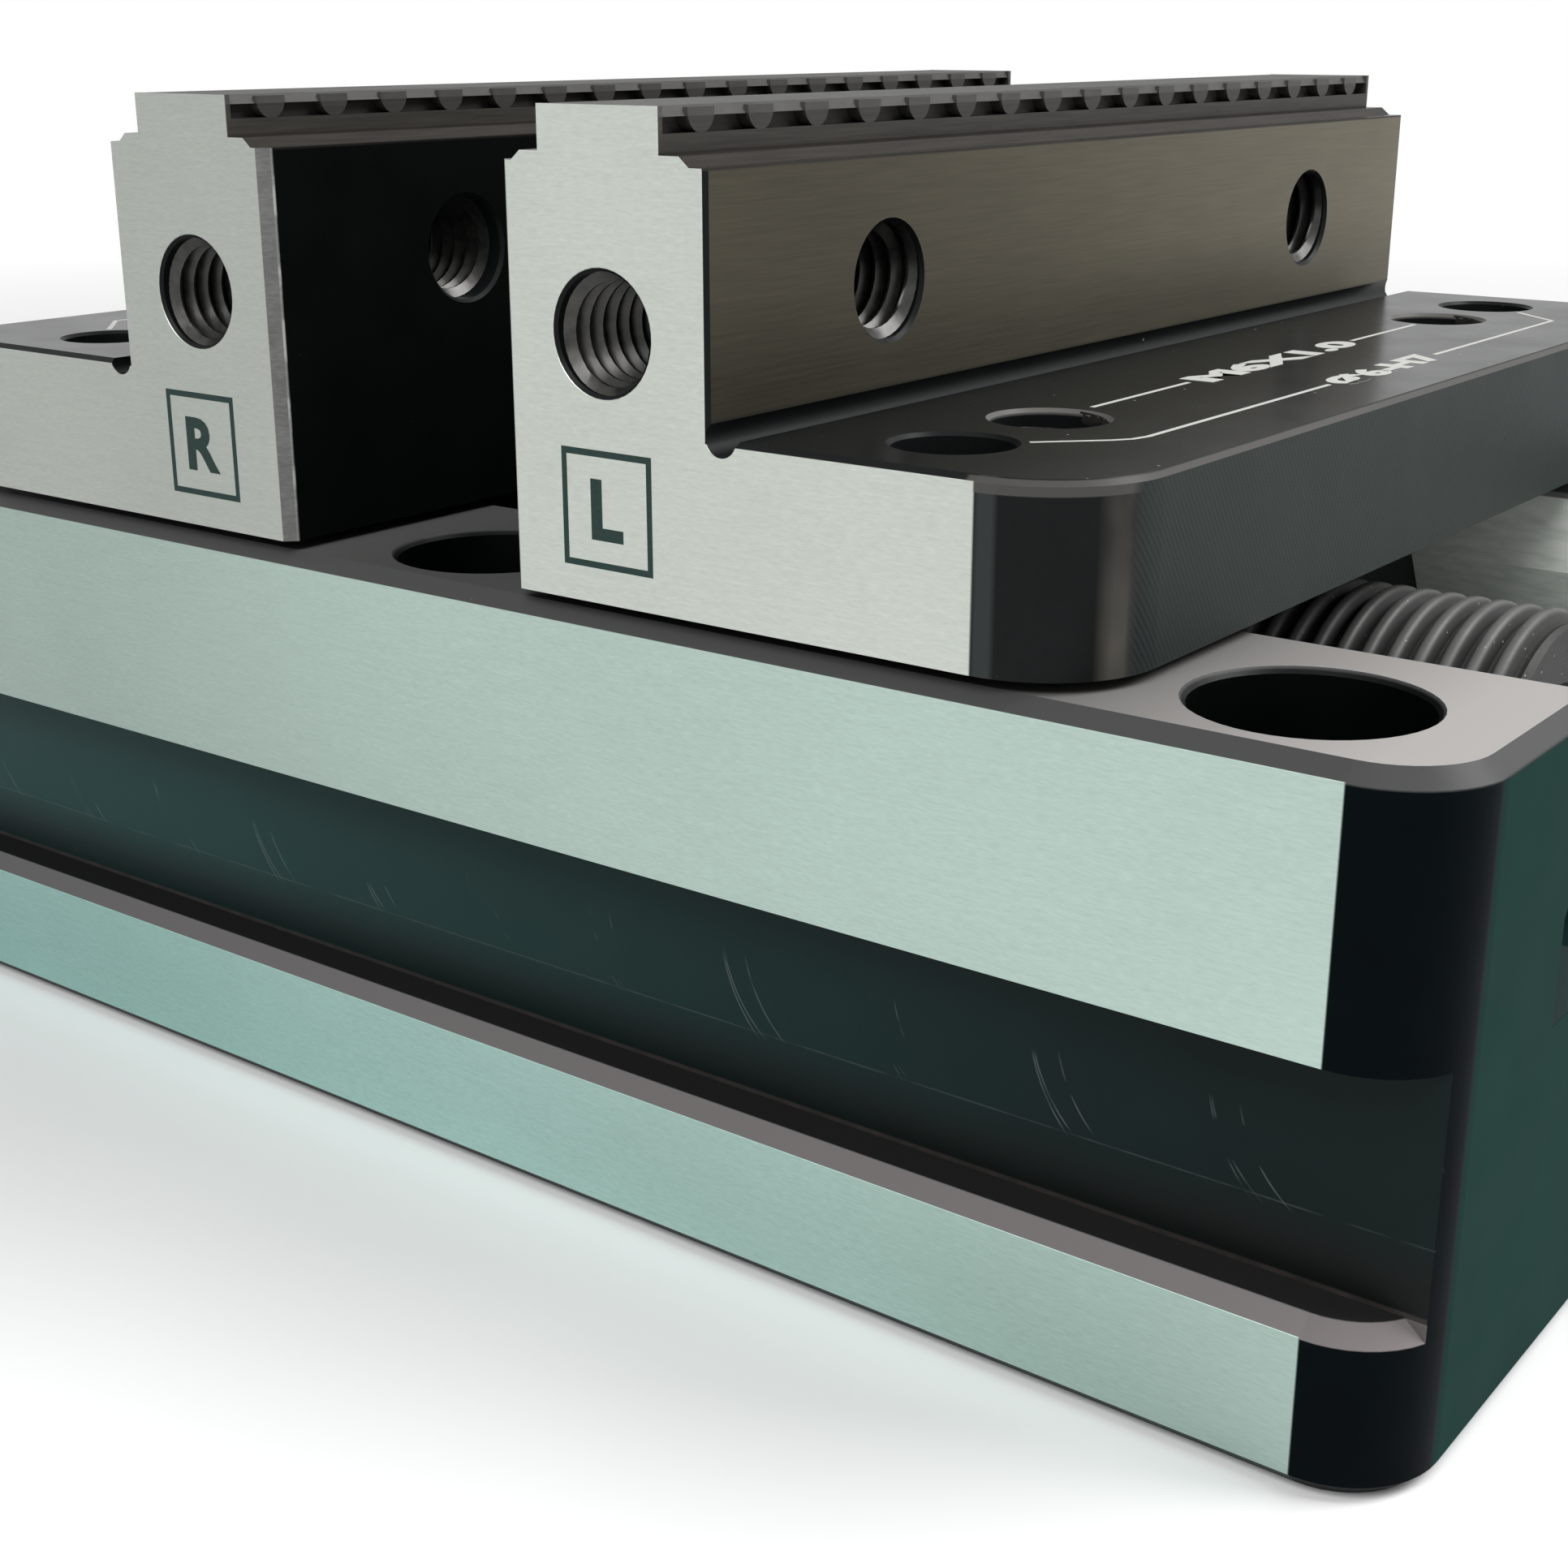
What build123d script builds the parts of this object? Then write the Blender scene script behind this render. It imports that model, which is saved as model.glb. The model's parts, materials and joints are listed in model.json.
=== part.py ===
from build123d import *
import math
import os

# Self centering vise, shown half open. Millimetres, +Z up, +X along the screw, front at -Y.
# The origin is the middle of the base's bottom face.

# Base block
base_length = 120.0
base_width = 80.0
base_height = 34.6
base_corner_radius = 5.0
base_edge_chamfer = 0.8

# Clamping grooves along the front and the back of the base
groove_bottom = 8.8
groove_top_drop = 13.6
groove_depth = 3.0
groove_lip_chamfer = 0.9

# Guide channel: a slot between two rails, dovetail flanks under their lips, and a trench for the screw
slot_clearance = 0.6
lip_height = 5.7
dovetail_height = 4.5
dovetail_angle = 30.0
guide_height = 5.4
trench_wall = 1.5
trench_floor_gap = 4.0
slot_edge_chamfer = 0.4

# Counterbored holes that hold the vise on a table, three in each rail
mounting_end_distance = 10.0
mounting_hole_radius = 3.3
mounting_counterbore_radius = 5.5
counterbore_edge_land = 2.0
mounting_counterbore_depth = 12.0
counterbore_chamfer = 0.3

# Stud holes in the base's bottom
stud_pitch = 52.0
stud_thread_radius = 4.0
stud_roof = 5.0
stud_recess_radius = 6.0
stud_recess_depth = 3.0

# Carriages
rest_half_opening = 8.65
running_gap = 0.6
opening_travel = 17.05
wing_thickness = 9.1
wing_corner_radius = 6.1
wing_edge_chamfer = 0.3
upright_thickness = 13.25
upright_height = 22.0
inner_edge_chamfer = 0.6
outer_edge_chamfer = 0.25
relief_radius = 0.95
relief_rise = 0.1
relief_bite = 0.2

# Neck along the top of each upright, between two stepped shoulders
neck_width = 7.65
neck_height = 2.2
shoulder_flat = 1.2
shoulder_bevel = 0.6
shoulder_drop = 0.5

# Gripping teeth along both sides of the neck
tooth_pitch = 4.6
tooth_width = 2.0
tooth_height = 1.2
tooth_top_step = 0.1
tooth_root = 0.2
lip_thickness = 0.5
lip_lean = 0.35
lip_set_back = 0.1
recess_height = 0.75
recess_depth = 0.8
recess_end_land = 0.35

# Tapped and reamed holes of the carriages
tooling_thread_radius = 3.0
tooling_dowel_radius = 3.0
hole_chamfer = 0.2
end_hole_height = 13.5
end_hole_depth = 11.0
side_hole_end_distance = 15.0
side_hole_height = 15.2
wing_hole_edge_distance = 11.25
wing_thread_end_distance = 15.0
wing_dowel_end_distance = 6.25
drill_point_angle = 59.0

# Keel under each carriage
keel_saddle_gap = 0.3
keel_length = 18.25
guide_clearance = 0.05
keel_floor_clearance = 0.6

# Lead screw
screw_radius = 9.0
screw_end_drop = 9.5
screw_cover = 2.6
screw_end_chamfer = 0.9
nut_clearance = 0.05
journal_step = 2.5
journal_length = 10.5
hexagon_size = 8.0
hexagon_depth = 9.0

# Centre bearing
saddle_top_drop = 1.2
saddle_side_clearance = 0.1
cap_wall = 0.85
cap_clearance = 0.05
shell_wall = 2.1
shell_end_clearance = 0.05
shell_stand_out = 0.2
journal_clearance = 0.04

# Screws and pins of the centre bearing
bearing_screw_radius = 2.0
bearing_screw_head_radius = 3.5
bearing_screw_head_height = 4.0
bearing_screw_socket = 3.0
bearing_screw_socket_depth = 2.2
screw_head_chamfer = 0.4
head_clearance = 0.2
shank_clearance = 0.25
thread_clearance = 0.02
cap_screw_wall = 1.4
cap_screw_sink = 4.3
cap_screw_length = 14.0
saddle_screw_wall = 1.0
saddle_screw_sink = 4.6
saddle_screw_length = 22.0
dowel_radius = 2.0
dowel_pitch = 14.0
dowel_sink = 2.0
dowel_engagement = 3.2
dowel_chamfer = 0.3
pin_clearance = 0.01

# The centre bearing and the channel, built outwards from the screw
journal_radius = screw_radius - journal_step
shell_radius = journal_radius + shell_wall
cap_screw_offset = shell_radius + cap_screw_wall + bearing_screw_radius
cap_half_span = cap_screw_offset + bearing_screw_head_radius + cap_wall
saddle_screw_offset = cap_half_span + cap_clearance + saddle_screw_wall + bearing_screw_radius
saddle_half_span = saddle_screw_offset + bearing_screw_radius + saddle_screw_wall
slot_half_width = saddle_half_span + slot_clearance
trench_half_width = cap_screw_offset + bearing_screw_radius + trench_wall
shell_length = journal_length - 2 * shell_end_clearance
saddle_width = shell_length - 2 * shell_stand_out
keel_setback = saddle_width / 2 + keel_saddle_gap
screw_depth = screw_cover + screw_radius
channel_depth = screw_depth + screw_radius + trench_floor_gap

# Holes and lengths that follow the base and the carriages
mounting_pitch_x = base_length / 2 - mounting_end_distance
mounting_pitch_y = base_width - 2 * (mounting_counterbore_radius + counterbore_edge_land)
screw_length = base_length - 2 * screw_end_drop
carriage_width = base_width
wing_reach = base_length / 2 - rest_half_opening - opening_travel
side_hole_pitch = carriage_width - 2 * side_hole_end_distance
wing_hole_offset = wing_reach - wing_hole_edge_distance
wing_thread_pitch = carriage_width - 2 * wing_thread_end_distance
wing_dowel_pitch = carriage_width - 2 * wing_dowel_end_distance
tooth_count = int((carriage_width - 2 * recess_end_land) / tooth_pitch)

# Heights and edges that follow from these
floor_thickness = base_height - channel_depth
groove_top = base_height - groove_top_drop
lip_underside = base_height - lip_height
guide_top = lip_underside - dovetail_height
guide_bottom = guide_top - guide_height
guide_half_width = slot_half_width + dovetail_height * math.tan(math.radians(dovetail_angle))
screw_axis = base_height - screw_depth
stud_thread_depth = guide_bottom - stud_roof
carriage_bottom = base_height + running_gap
wing_top = carriage_bottom + wing_thickness
shoulder_top = carriage_bottom + upright_height
neck_top = shoulder_top + neck_height
inner_face = rest_half_opening
outer_face = inner_face + upright_thickness
wing_end = inner_face + wing_reach
upright_middle = inner_face + upright_thickness / 2
neck_inner = upright_middle - neck_width / 2
neck_outer = upright_middle + neck_width / 2
wing_holes_at = inner_face + wing_hole_offset
saddle_top = base_height - saddle_top_drop

ON_BASE = (Align.CENTER, Align.CENTER, Align.MIN)
ALONG_X = Vector(1, 0, 0)
ALONG_Y = Vector(0, 1, 0)
UP = Vector(0, 0, 1)


def section_along_x(points, start, end):
    """A (y, z) outline carried from one x to another."""
    outline = make_face(Polyline(*points, close=True))
    return extrude(Plane.YZ.offset(start) * outline, amount=end - start)


def section_along_y(points, start, end):
    """An (x, z) outline carried from one y to another."""
    outline = make_face(Polyline(*points, close=True))
    return extrude(Plane.XZ.offset(-start) * outline, amount=start - end)


def both_sides(points):
    """The outline of a section that is the same left and right of the middle plane."""
    return points + [(-y, z) for y, z in reversed(points)]


def rod(start, direction, radius, length):
    """A plain cylinder from its start along a direction."""
    return Plane(origin=start, z_dir=direction) * Cylinder(radius, length, align=ON_BASE)


def rim(start, direction, radius, chamfer_size):
    """The cone that breaks the edge of a hole's mouth."""
    return Plane(origin=start, z_dir=direction) * Cone(radius + chamfer_size, radius, chamfer_size, align=ON_BASE)


def drilled(start, direction, radius, depth):
    """A blind hole with a chamfered mouth and the cone that a drill leaves."""
    point_length = radius / math.tan(math.radians(drill_point_angle))
    bottom = start + direction * depth
    tool = rod(start, direction, radius, depth) + rim(start, direction, radius, hole_chamfer)
    return tool + Plane(origin=bottom, z_dir=direction) * Cone(radius, 0, point_length, align=ON_BASE)


def through(start, direction, radius, depth):
    """A through hole whose two mouths are chamfered."""
    end = start + direction * depth
    tool = rod(start, direction, radius, depth) + rim(start, direction, radius, hole_chamfer)
    return tool + rim(end, direction * -1, radius, hole_chamfer)


def hexagon(start, direction, across_flats, depth):
    """A hexagon socket from its mouth inwards."""
    outline = RegularPolygon(across_flats / 2, 6, major_radius=False)
    return extrude(Plane(origin=start, z_dir=direction) * outline, amount=depth)


def channel_section():
    """The outline of the guide channel, open at the top."""
    right = [
        (trench_half_width, floor_thickness),
        (trench_half_width, guide_bottom),
        (guide_half_width, guide_bottom),
        (guide_half_width, guide_top),
        (slot_half_width, lip_underside),
        (slot_half_width, base_height - slot_edge_chamfer),
        (slot_half_width + slot_edge_chamfer, base_height),
    ]
    return both_sides(right)


def clamping_groove(side):
    """The groove along one long side."""
    face_y = side * base_width / 2
    floor_y = side * (base_width / 2 - groove_depth)
    outline = [
        (face_y, groove_bottom),
        (floor_y, groove_bottom),
        (floor_y, groove_top),
        (face_y, groove_top),
    ]
    return section_along_x(outline, -base_length / 2, base_length / 2)


def mounting_hole(x, y):
    """One counterbored hole down through a rail."""
    mouth = Vector(x, y, base_height)
    tool = rod(mouth, UP * -1, mounting_hole_radius, base_height)
    tool += rod(mouth, UP * -1, mounting_counterbore_radius, mounting_counterbore_depth)
    return tool + rim(mouth, UP * -1, mounting_counterbore_radius, counterbore_chamfer)


def stud_hole(x, y):
    """One tapped hole up into the base, with its locating recess."""
    mouth = Vector(x, y, 0)
    return drilled(mouth, UP, stud_thread_radius, stud_thread_depth) + rod(
        mouth, UP, stud_recess_radius, stud_recess_depth
    )


def base_body():
    outline = RectangleRounded(base_length, base_width, base_corner_radius)
    block = extrude(outline, amount=base_height)
    rims = block.faces().sort_by(Axis.Z)[0].edges() + block.faces().sort_by(Axis.Z)[-1].edges()
    block = chamfer(rims, base_edge_chamfer)
    block -= clamping_groove(-1) + clamping_groove(1)
    groove_floor = base_width / 2 - groove_depth
    ledge_edges = block.edges().filter_by_position(Axis.Z, groove_bottom, groove_bottom)
    block = chamfer([edge for edge in ledge_edges if abs(edge.center().Y) > groove_floor], groove_lip_chamfer)
    block -= section_along_x(channel_section(), -base_length / 2, base_length / 2)
    for side in (-1, 1):
        for column in (-1, 0, 1):
            block -= mounting_hole(column * mounting_pitch_x, side * mounting_pitch_y / 2)
        for end in (-1, 1):
            block -= stud_hole(end * stud_pitch / 2, side * stud_pitch / 2)
        block -= rod(Vector(0, side * dowel_pitch / 2, 0), UP, dowel_radius + pin_clearance, floor_thickness)
        foot = Vector(0, side * saddle_screw_offset, 0)
        block -= rod(foot, UP, bearing_screw_radius + shank_clearance, guide_bottom)
        block -= rod(foot, UP, bearing_screw_head_radius + head_clearance, saddle_screw_sink)
    return block


def carriage_outline():
    """The carriage seen from the front: wing, upright, stepped shoulders and neck."""
    shoulder_low = shoulder_top - shoulder_drop
    return [
        (inner_face, carriage_bottom),
        (wing_end, carriage_bottom),
        (wing_end, wing_top),
        (outer_face, wing_top),
        (outer_face, shoulder_low),
        (neck_outer + shoulder_flat + shoulder_bevel, shoulder_low),
        (neck_outer + shoulder_flat, shoulder_top),
        (neck_outer, shoulder_top),
        (neck_outer, neck_top),
        (neck_inner, neck_top),
        (neck_inner, shoulder_top),
        (neck_inner - shoulder_flat, shoulder_top),
        (neck_inner - shoulder_flat - shoulder_bevel, shoulder_low),
        (inner_face, shoulder_low),
    ]


def keel_section():
    """The outline of the keel, which fills the guide channel round the screw."""
    trench = trench_half_width - guide_clearance
    guide = guide_half_width - guide_clearance
    slot = slot_half_width - guide_clearance
    right = [
        (trench, floor_thickness + keel_floor_clearance),
        (trench, guide_bottom + guide_clearance),
        (guide, guide_bottom + guide_clearance),
        (guide, guide_top - guide_clearance),
        (slot, lip_underside - guide_clearance),
        (slot, carriage_bottom + wing_thickness / 2),
    ]
    return both_sides(right)


def tooth_relief(face, outward):
    """What is cut from one side of the neck: the recess, and the lean of the lip over it."""
    half_run = carriage_width / 2 - recess_end_land
    lip_bottom = neck_top - lip_thickness
    recess = [
        (face, lip_bottom),
        (face - outward * recess_depth, lip_bottom),
        (face - outward * recess_depth, lip_bottom - recess_height),
        (face, lip_bottom - recess_height),
    ]
    lean = [
        (face - outward * lip_lean, neck_top),
        (face, neck_top),
        (face, lip_bottom),
        (face - outward * lip_set_back, lip_bottom),
    ]
    return section_along_y(recess, -half_run, half_run) + section_along_y(lean, -half_run, half_run)


def tooth_row(face, outward):
    """Teeth with flat tops and round feet, which stand in the recess flush with the neck."""
    top = neck_top - tooth_top_step
    foot_middle = top - tooth_height + tooth_width / 2
    half = tooth_width / 2
    back = Plane(
        origin=(face - outward * (recess_depth + tooth_root), 0, 0),
        x_dir=(0, 1, 0),
        z_dir=(1, 0, 0),
    )
    row = None
    for number in range(tooth_count):
        y = (number - (tooth_count - 1) / 2) * tooth_pitch
        foot = ThreePointArc((y + half, foot_middle), (y, foot_middle - half), (y - half, foot_middle))
        sides = Polyline((y - half, foot_middle), (y - half, top), (y + half, top), (y + half, foot_middle))
        tooth = extrude(back * make_face(foot + sides), amount=outward * (recess_depth + tooth_root))
        row = tooth if row is None else row + tooth
    return row


def carriage():
    """The carriage on the +X side; its twin is the mirror image."""
    half_width = carriage_width / 2
    block = section_along_y(carriage_outline(), -half_width, half_width)
    wing_corners = block.edges().filter_by(Axis.Z).filter_by_position(Axis.X, wing_end, wing_end)
    block = fillet(wing_corners, wing_corner_radius)
    inner_corners = block.edges().filter_by(Axis.Z).filter_by_position(Axis.X, inner_face, inner_face)
    block = chamfer(inner_corners, inner_edge_chamfer)
    outer_corners = block.edges().filter_by(Axis.Z).filter_by_position(Axis.X, outer_face, outer_face)
    block = chamfer(outer_corners, outer_edge_chamfer)
    wing_rim = block.edges().filter_by_position(Axis.Z, wing_top, wing_top)
    wing_rim = wing_rim.filter_by_position(Axis.X, outer_face + relief_radius, wing_end)
    block = chamfer(wing_rim, wing_edge_chamfer)
    block -= rod(
        Vector(outer_face + relief_radius - relief_bite, -half_width, wing_top + relief_rise),
        ALONG_Y,
        relief_radius,
        carriage_width,
    )
    for face, outward in ((neck_outer, 1), (neck_inner, -1)):
        block -= tooth_relief(face, outward)
        block += tooth_row(face, outward)
    keel_start = inner_face + keel_setback
    block += section_along_x(keel_section(), keel_start, keel_start + keel_length)
    block -= rod(Vector(keel_start, 0, screw_axis), ALONG_X, screw_radius + nut_clearance, keel_length)
    for side in (-1, 1):
        end_mouth = Vector(upright_middle, side * half_width, carriage_bottom + end_hole_height)
        block -= drilled(end_mouth, ALONG_Y * -side, tooling_thread_radius, end_hole_depth)
        side_mouth = Vector(inner_face, side * side_hole_pitch / 2, carriage_bottom + side_hole_height)
        block -= through(side_mouth, ALONG_X, tooling_thread_radius, upright_thickness)
        thread_mouth = Vector(wing_holes_at, side * wing_thread_pitch / 2, carriage_bottom)
        block -= through(thread_mouth, UP, tooling_thread_radius, wing_thickness)
        dowel_mouth = Vector(wing_holes_at, side * wing_dowel_pitch / 2, carriage_bottom)
        block -= through(dowel_mouth, UP, tooling_dowel_radius, wing_thickness)
    return block


def lead_screw():
    """The spindle: two threaded halves either side of the journal, a hexagon socket in each end."""
    half_length = screw_length / 2
    half_journal = journal_length / 2
    profile = [
        (0, -half_length),
        (screw_radius - screw_end_chamfer, -half_length),
        (screw_radius, -half_length + screw_end_chamfer),
        (screw_radius, -half_journal),
        (journal_radius, -half_journal),
        (journal_radius, half_journal),
        (screw_radius, half_journal),
        (screw_radius, half_length - screw_end_chamfer),
        (screw_radius - screw_end_chamfer, half_length),
        (0, half_length),
    ]
    outline = make_face(Polyline(*[(x, radius) for radius, x in profile], close=True))
    spindle = revolve(outline, Axis.X)
    for end in (-1, 1):
        mouth = ALONG_X * (end * half_length)
        inward = ALONG_X * -end
        spindle -= hexagon(mouth, inward, hexagon_size, hexagon_depth)
        spindle -= rim(mouth, inward, hexagon_size / 2, hexagon_size / 10)
    return Pos(0, 0, screw_axis) * spindle


def centre_saddle():
    """The U-shaped block that stands on the trench floor and the ledges of the guide."""
    half = saddle_width / 2
    trench = trench_half_width - saddle_side_clearance
    pocket = cap_half_span + cap_clearance
    right = [
        (trench, floor_thickness),
        (trench, guide_bottom),
        (saddle_half_span, guide_bottom),
        (saddle_half_span, saddle_top),
        (pocket, saddle_top),
        (pocket, screw_axis),
    ]
    block = section_along_x(both_sides(right), -half, half)
    block -= rod(Vector(-half, 0, screw_axis), ALONG_X, shell_radius, saddle_width)
    cap_screw_reach = cap_screw_length - (saddle_top - cap_screw_sink - screw_axis)
    for side in (-1, 1):
        block -= rod(
            Vector(0, side * cap_screw_offset, screw_axis),
            UP * -1,
            bearing_screw_radius + thread_clearance,
            cap_screw_reach + head_clearance,
        )
        block -= rod(
            Vector(0, side * saddle_screw_offset, guide_bottom),
            UP,
            bearing_screw_radius + thread_clearance,
            saddle_screw_sink + saddle_screw_length - guide_bottom + head_clearance,
        )
        block -= rod(
            Vector(0, side * dowel_pitch / 2, floor_thickness),
            UP,
            dowel_radius + pin_clearance,
            dowel_engagement,
        )
    return block


def centre_cap():
    """The bridge over the journal, let in between the arms of the saddle."""
    half = saddle_width / 2
    outline = [
        (-cap_half_span, screw_axis),
        (cap_half_span, screw_axis),
        (cap_half_span, saddle_top),
        (-cap_half_span, saddle_top),
    ]
    block = section_along_x(outline, -half, half)
    block -= rod(Vector(-half, 0, screw_axis), ALONG_X, shell_radius, saddle_width)
    for side in (-1, 1):
        mouth = Vector(0, side * cap_screw_offset, saddle_top)
        block -= rod(mouth, UP * -1, bearing_screw_radius + shank_clearance, saddle_top - screw_axis)
        block -= rod(mouth, UP * -1, bearing_screw_head_radius + head_clearance, cap_screw_sink)
    return block


def bearing_shell(upward):
    """Half of the bronze bush round the journal; upward is 1 for the top half."""
    start = Vector(-shell_length / 2, 0, screw_axis)
    ring = rod(start, ALONG_X, shell_radius, shell_length)
    ring -= rod(start, ALONG_X, journal_radius + journal_clearance, shell_length)
    half_box = Pos(0, 0, screw_axis + upward * shell_radius / 2) * Box(
        shell_length, 2 * shell_radius, shell_radius
    )
    return ring & half_box


def socket_screw(seat, direction, length):
    """A socket-head screw: seat is the middle of the head's underside, direction is where the shank points."""
    head = rod(seat, direction * -1, bearing_screw_head_radius, bearing_screw_head_height)
    top = seat - direction * bearing_screw_head_height
    head_rim = head.edges().sort_by_distance(top)[0]
    head = chamfer(head_rim, screw_head_chamfer)
    head -= hexagon(top, direction, bearing_screw_socket, bearing_screw_socket_depth)
    return head + rod(seat, direction, bearing_screw_radius, length)


def cap_screw(side):
    seat = Vector(0, side * cap_screw_offset, saddle_top - cap_screw_sink)
    return socket_screw(seat, UP * -1, cap_screw_length)


def saddle_screw(side):
    seat = Vector(0, side * saddle_screw_offset, saddle_screw_sink)
    return socket_screw(seat, UP, saddle_screw_length)


def saddle_dowel(side):
    length = floor_thickness + dowel_engagement - dowel_sink
    pin = rod(Vector(0, side * dowel_pitch / 2, dowel_sink), UP, dowel_radius, length)
    return chamfer(pin.edges().filter_by(GeomType.CIRCLE), dowel_chamfer)


os.makedirs("parts", exist_ok=True)
right_carriage = carriage()
export_step(base_body(), "parts/base_body.step")
export_step(right_carriage, "parts/carriage_l.step")
export_step(mirror(right_carriage, about=Plane.YZ), "parts/carriage_r.step")
export_step(lead_screw(), "parts/lead_screw.step")
export_step(centre_saddle(), "parts/centre_saddle.step")
export_step(centre_cap(), "parts/centre_cap.step")
export_step(bearing_shell(-1), "parts/bearing_shell_lower.step")
export_step(bearing_shell(1), "parts/bearing_shell_upper.step")
for name, side in (("front", -1), ("back", 1)):
    export_step(cap_screw(side), f"parts/cap_screw_{name}.step")
    export_step(saddle_screw(side), f"parts/saddle_screw_{name}.step")
    export_step(saddle_dowel(side), f"parts/saddle_dowel_{name}.step")
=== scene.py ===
import json
import math

import bpy
from mathutils import Matrix, Vector


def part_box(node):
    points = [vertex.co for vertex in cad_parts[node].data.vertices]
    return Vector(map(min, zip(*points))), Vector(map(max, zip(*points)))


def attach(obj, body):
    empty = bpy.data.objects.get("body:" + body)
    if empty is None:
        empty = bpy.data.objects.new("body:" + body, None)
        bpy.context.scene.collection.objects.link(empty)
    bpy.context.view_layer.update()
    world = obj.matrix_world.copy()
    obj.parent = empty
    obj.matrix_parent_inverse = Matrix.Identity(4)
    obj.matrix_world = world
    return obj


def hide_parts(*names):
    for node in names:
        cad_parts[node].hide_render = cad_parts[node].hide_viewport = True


bl_info = {
    "name": "Self centering vise",
    "version": (1, 0, 0),
    "blender": (4, 5, 0),
    "location": "3D View > Sidebar > Vise",
    "description": "Threads, marks and steel finishes for a self centering vise, and its studio",
    "category": "Object",
}

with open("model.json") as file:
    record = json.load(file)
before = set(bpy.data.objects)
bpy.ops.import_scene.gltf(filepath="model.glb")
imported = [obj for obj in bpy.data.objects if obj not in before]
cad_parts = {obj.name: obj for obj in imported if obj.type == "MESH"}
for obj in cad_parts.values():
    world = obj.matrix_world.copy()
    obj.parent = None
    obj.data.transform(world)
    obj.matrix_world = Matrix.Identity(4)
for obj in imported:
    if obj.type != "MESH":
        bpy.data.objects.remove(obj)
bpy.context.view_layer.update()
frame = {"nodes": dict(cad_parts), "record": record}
MM = 0.001
UP = Vector((0, 0, 1))
WELD = 0.0005 * MM


def millimetres(name, description, default, low=0.0, high=100.0):
    """A length for the panel, given in millimetres and kept in metres."""
    return bpy.props.FloatProperty(
        name=name,
        description=description,
        default=default * MM,
        min=low * MM,
        max=high * MM,
        precision=5,
        unit="LENGTH",
    )


def tint(name, description, default):
    """A colour for the panel."""
    return bpy.props.FloatVectorProperty(
        name=name,
        description=description,
        subtype="COLOR",
        default=default,
        min=0,
        max=1,
    )


class ViseThreads(bpy.types.PropertyGroup):
    """Sizes of the threads, which the solids leave plain."""

    screw_pitch: millimetres("Screw pitch", "Travel of a jaw in one turn of the lead screw", 1.5, 0.5, 4)
    screw_depth: millimetres("Screw thread depth", "From crest to root of the thread", 0.8, 0.1, 2)
    screw_chamfer: millimetres("Screw end chamfer", "Width of the cone on both ends", 0.9, 0.1, 3)
    journal_radius: millimetres("Journal radius", "Radius of the neck in the centre bearing", 6.45, 2, 8)
    journal_length: millimetres("Journal length", "Length of the neck between the two threads", 10.5, 2, 20)
    hexagon: millimetres("Hexagon", "Width across the flats of the key socket in each end", 8, 3, 12)
    hexagon_depth: millimetres("Hexagon depth", "How deep the key socket goes", 9, 2, 20)
    tapped_pitch: millimetres("Tapped pitch", "Pitch of the M6 holes in the carriages", 1.0, 0.5, 2)
    stud_pitch: millimetres("Stud pitch", "Pitch of the M8 holes in the base's bottom", 1.25, 0.5, 2)
    turn_steps: bpy.props.IntProperty(
        name="Steps in a turn",
        description="Faces round one turn of the lead screw's thread",
        default=56,
        min=12,
        max=96,
    )


class ViseMarks(bpy.types.PropertyGroup):
    """Sizes of the engraved and printed marks."""

    box_width: millimetres("Box width", "Width of the engraved box round a jaw's letter", 5.9)
    box_height: millimetres("Box height", "Height of the engraved box round a jaw's letter", 6.0)
    box_line: millimetres("Box line", "Width of the box's engraved line", 0.34)
    letter: millimetres("Letter height", "Height of the jaw letters", 3.1)
    size_letter: millimetres("Size letter height", "Height of the hole sizes on the wings", 2.2)
    leader: millimetres("Leader line", "Width of the lines that lead from a size to its holes", 0.32)


class ViseColours(bpy.types.PropertyGroup):
    """Colours of the finishes."""

    ground: tint("Ground steel", "Bright ground bands of the base's long sides", (0.44, 0.555, 0.505))
    carriage_ground: tint("Ground carriage ends", "Bright ends of the carriages", (0.51, 0.545, 0.50))
    oxide: tint("Black oxide", "Blackened steel of the base", (0.005, 0.017, 0.0165))
    carriage_oxide: tint("Carriage oxide", "Blackened steel of the carriages", (0.004, 0.005, 0.0052))
    brown_oxide: tint("Brown oxide", "Brushed upright faces of the carriages", (0.110, 0.098, 0.070))
    screw: tint("Lead screw", "Blackened steel of the lead screw", (0.110, 0.110, 0.108))
    bronze: tint("Bronze", "Turned bearing bronze", (0.50, 0.30, 0.13))
    engraved: tint("Engraved mark", "Dark bottom of the engraved jaw letters", (0.012, 0.030, 0.026))
    printed: tint("Printed mark", "Pale lasered sizes and lines on the wings", (0.55, 0.55, 0.52))
    floor: tint("Floor", "Pale floor of the studio", (0.86, 0.86, 0.86))


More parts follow.
